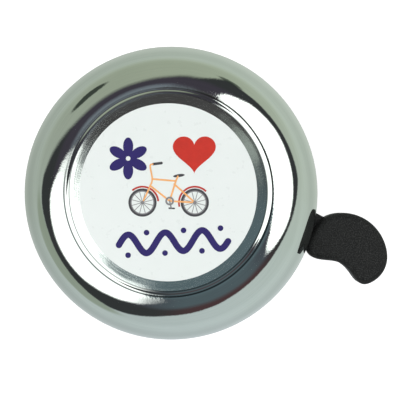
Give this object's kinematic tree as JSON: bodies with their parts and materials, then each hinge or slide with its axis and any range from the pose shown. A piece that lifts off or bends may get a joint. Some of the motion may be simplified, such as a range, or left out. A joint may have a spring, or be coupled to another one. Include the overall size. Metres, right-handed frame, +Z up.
{
  "type": "bicycle bell",
  "caption": "Rotary bicycle bell: chromed steel dome with a printed disc on its flat top, black base with thumb lever, geared loose-ring striker and hinged handlebar clamp.",
  "frame": {"origin": "centre of the handlebar bore, midway along the clamp", "axes": "+X along the handlebar towards the thumb lever, +Y away from the rider, +Z up through the flat top of the dome"},
  "size_m": [0.0749, 0.06, 0.0567],
  "materials": {
    "chrome": "bright chrome over spun steel, fine turning marks on the flat top",
    "badge_print": "white vinyl with a printed heart and bicycle pictogram",
    "black_plastic": "fine matte moulding grain",
    "plated_steel": "zinc plated",
    "spring_steel": "drawn wire",
    "gear_plastic": "natural acetal",
    "black_rubber": "matte rubber"
  },
  "bodies": {
    "base": {"base_housing": "black_plastic", "dome": "chrome", "dome_boss": "plated_steel", "badge_disc": "badge_print", "centre_post": "plated_steel", "post_washer": "plated_steel", "post_nut": "plated_steel", "lever_pivot_pin": "plated_steel", "lever_lock_washer": "plated_steel", "return_spring": "spring_steel", "idler_pin": "plated_steel", "idler_lock_washer": "plated_steel", "thrust_washer": "gear_plastic", "carrier_clip": "spring_steel", "hinge_pin": "plated_steel", "clamp_nut": "plated_steel", "saddle_liner": "black_rubber"},
    "lever": {"thumb_lever": "black_plastic"},
    "idler": {"idler_gear": "gear_plastic"},
    "striker": {"striker_pinion": "gear_plastic", "striker_bar": "plated_steel", "striker_rivets": "plated_steel"},
    "ring_a": {"striker_ring_a": "plated_steel"},
    "ring_b": {"striker_ring_b": "plated_steel"},
    "strap": {"clamp_strap": "black_plastic", "strap_liner": "black_rubber"},
    "screw": {"clamp_screw": "plated_steel"}
  },
  "joints": [
    {"name": "lever_swing", "type": "hinge", "parent": "base", "child": "lever", "pos_m": [0.0196, -0.00599, 0.02], "axis": [0, 0, 1], "range_deg": [0, 32], "stiffness_Nm_per_rad": 0.05, "springref_deg": -34.38, "deforming": ["return_spring"]},
    {"name": "idler_spin", "type": "hinge", "parent": "base", "child": "idler", "pos_m": [0.01153, 0.00794, 0.02], "axis": [0, 0, 1], "range_deg": [-118, 3]},
    {"name": "striker_spin", "type": "hinge", "parent": "base", "child": "striker", "pos_m": [0, 0, 0.026], "axis": [0, 0, 1], "range_deg": [-3, 272]},
    {"name": "ring_a_throw", "type": "slide", "parent": "striker", "child": "ring_a", "axis": [0.4695, 0.8829, 0], "range_m": [-0.0019, 0.0019]},
    {"name": "ring_b_throw", "type": "slide", "parent": "striker", "child": "ring_b", "axis": [-0.4695, -0.8829, 0], "range_m": [-0.0019, 0.0019]},
    {"name": "strap_hinge", "type": "hinge", "parent": "base", "child": "strap", "pos_m": [0, -0.0174, 0], "axis": [-1, 0, 0], "range_deg": [0, 6]},
    {"name": "screw_travel", "type": "slide", "parent": "base", "child": "screw", "axis": [0, 0, -1], "range_m": [0, 0.0044]}
  ],
  "couplings": [
    {"joint": "idler_spin", "follows": "lever_swing", "ratio": -3.6},
    {"joint": "striker_spin", "follows": "lever_swing", "ratio": 8.4},
    {"joint": "screw_travel", "follows": "strap_hinge", "m_per_rad": 0.0408}
  ]
}
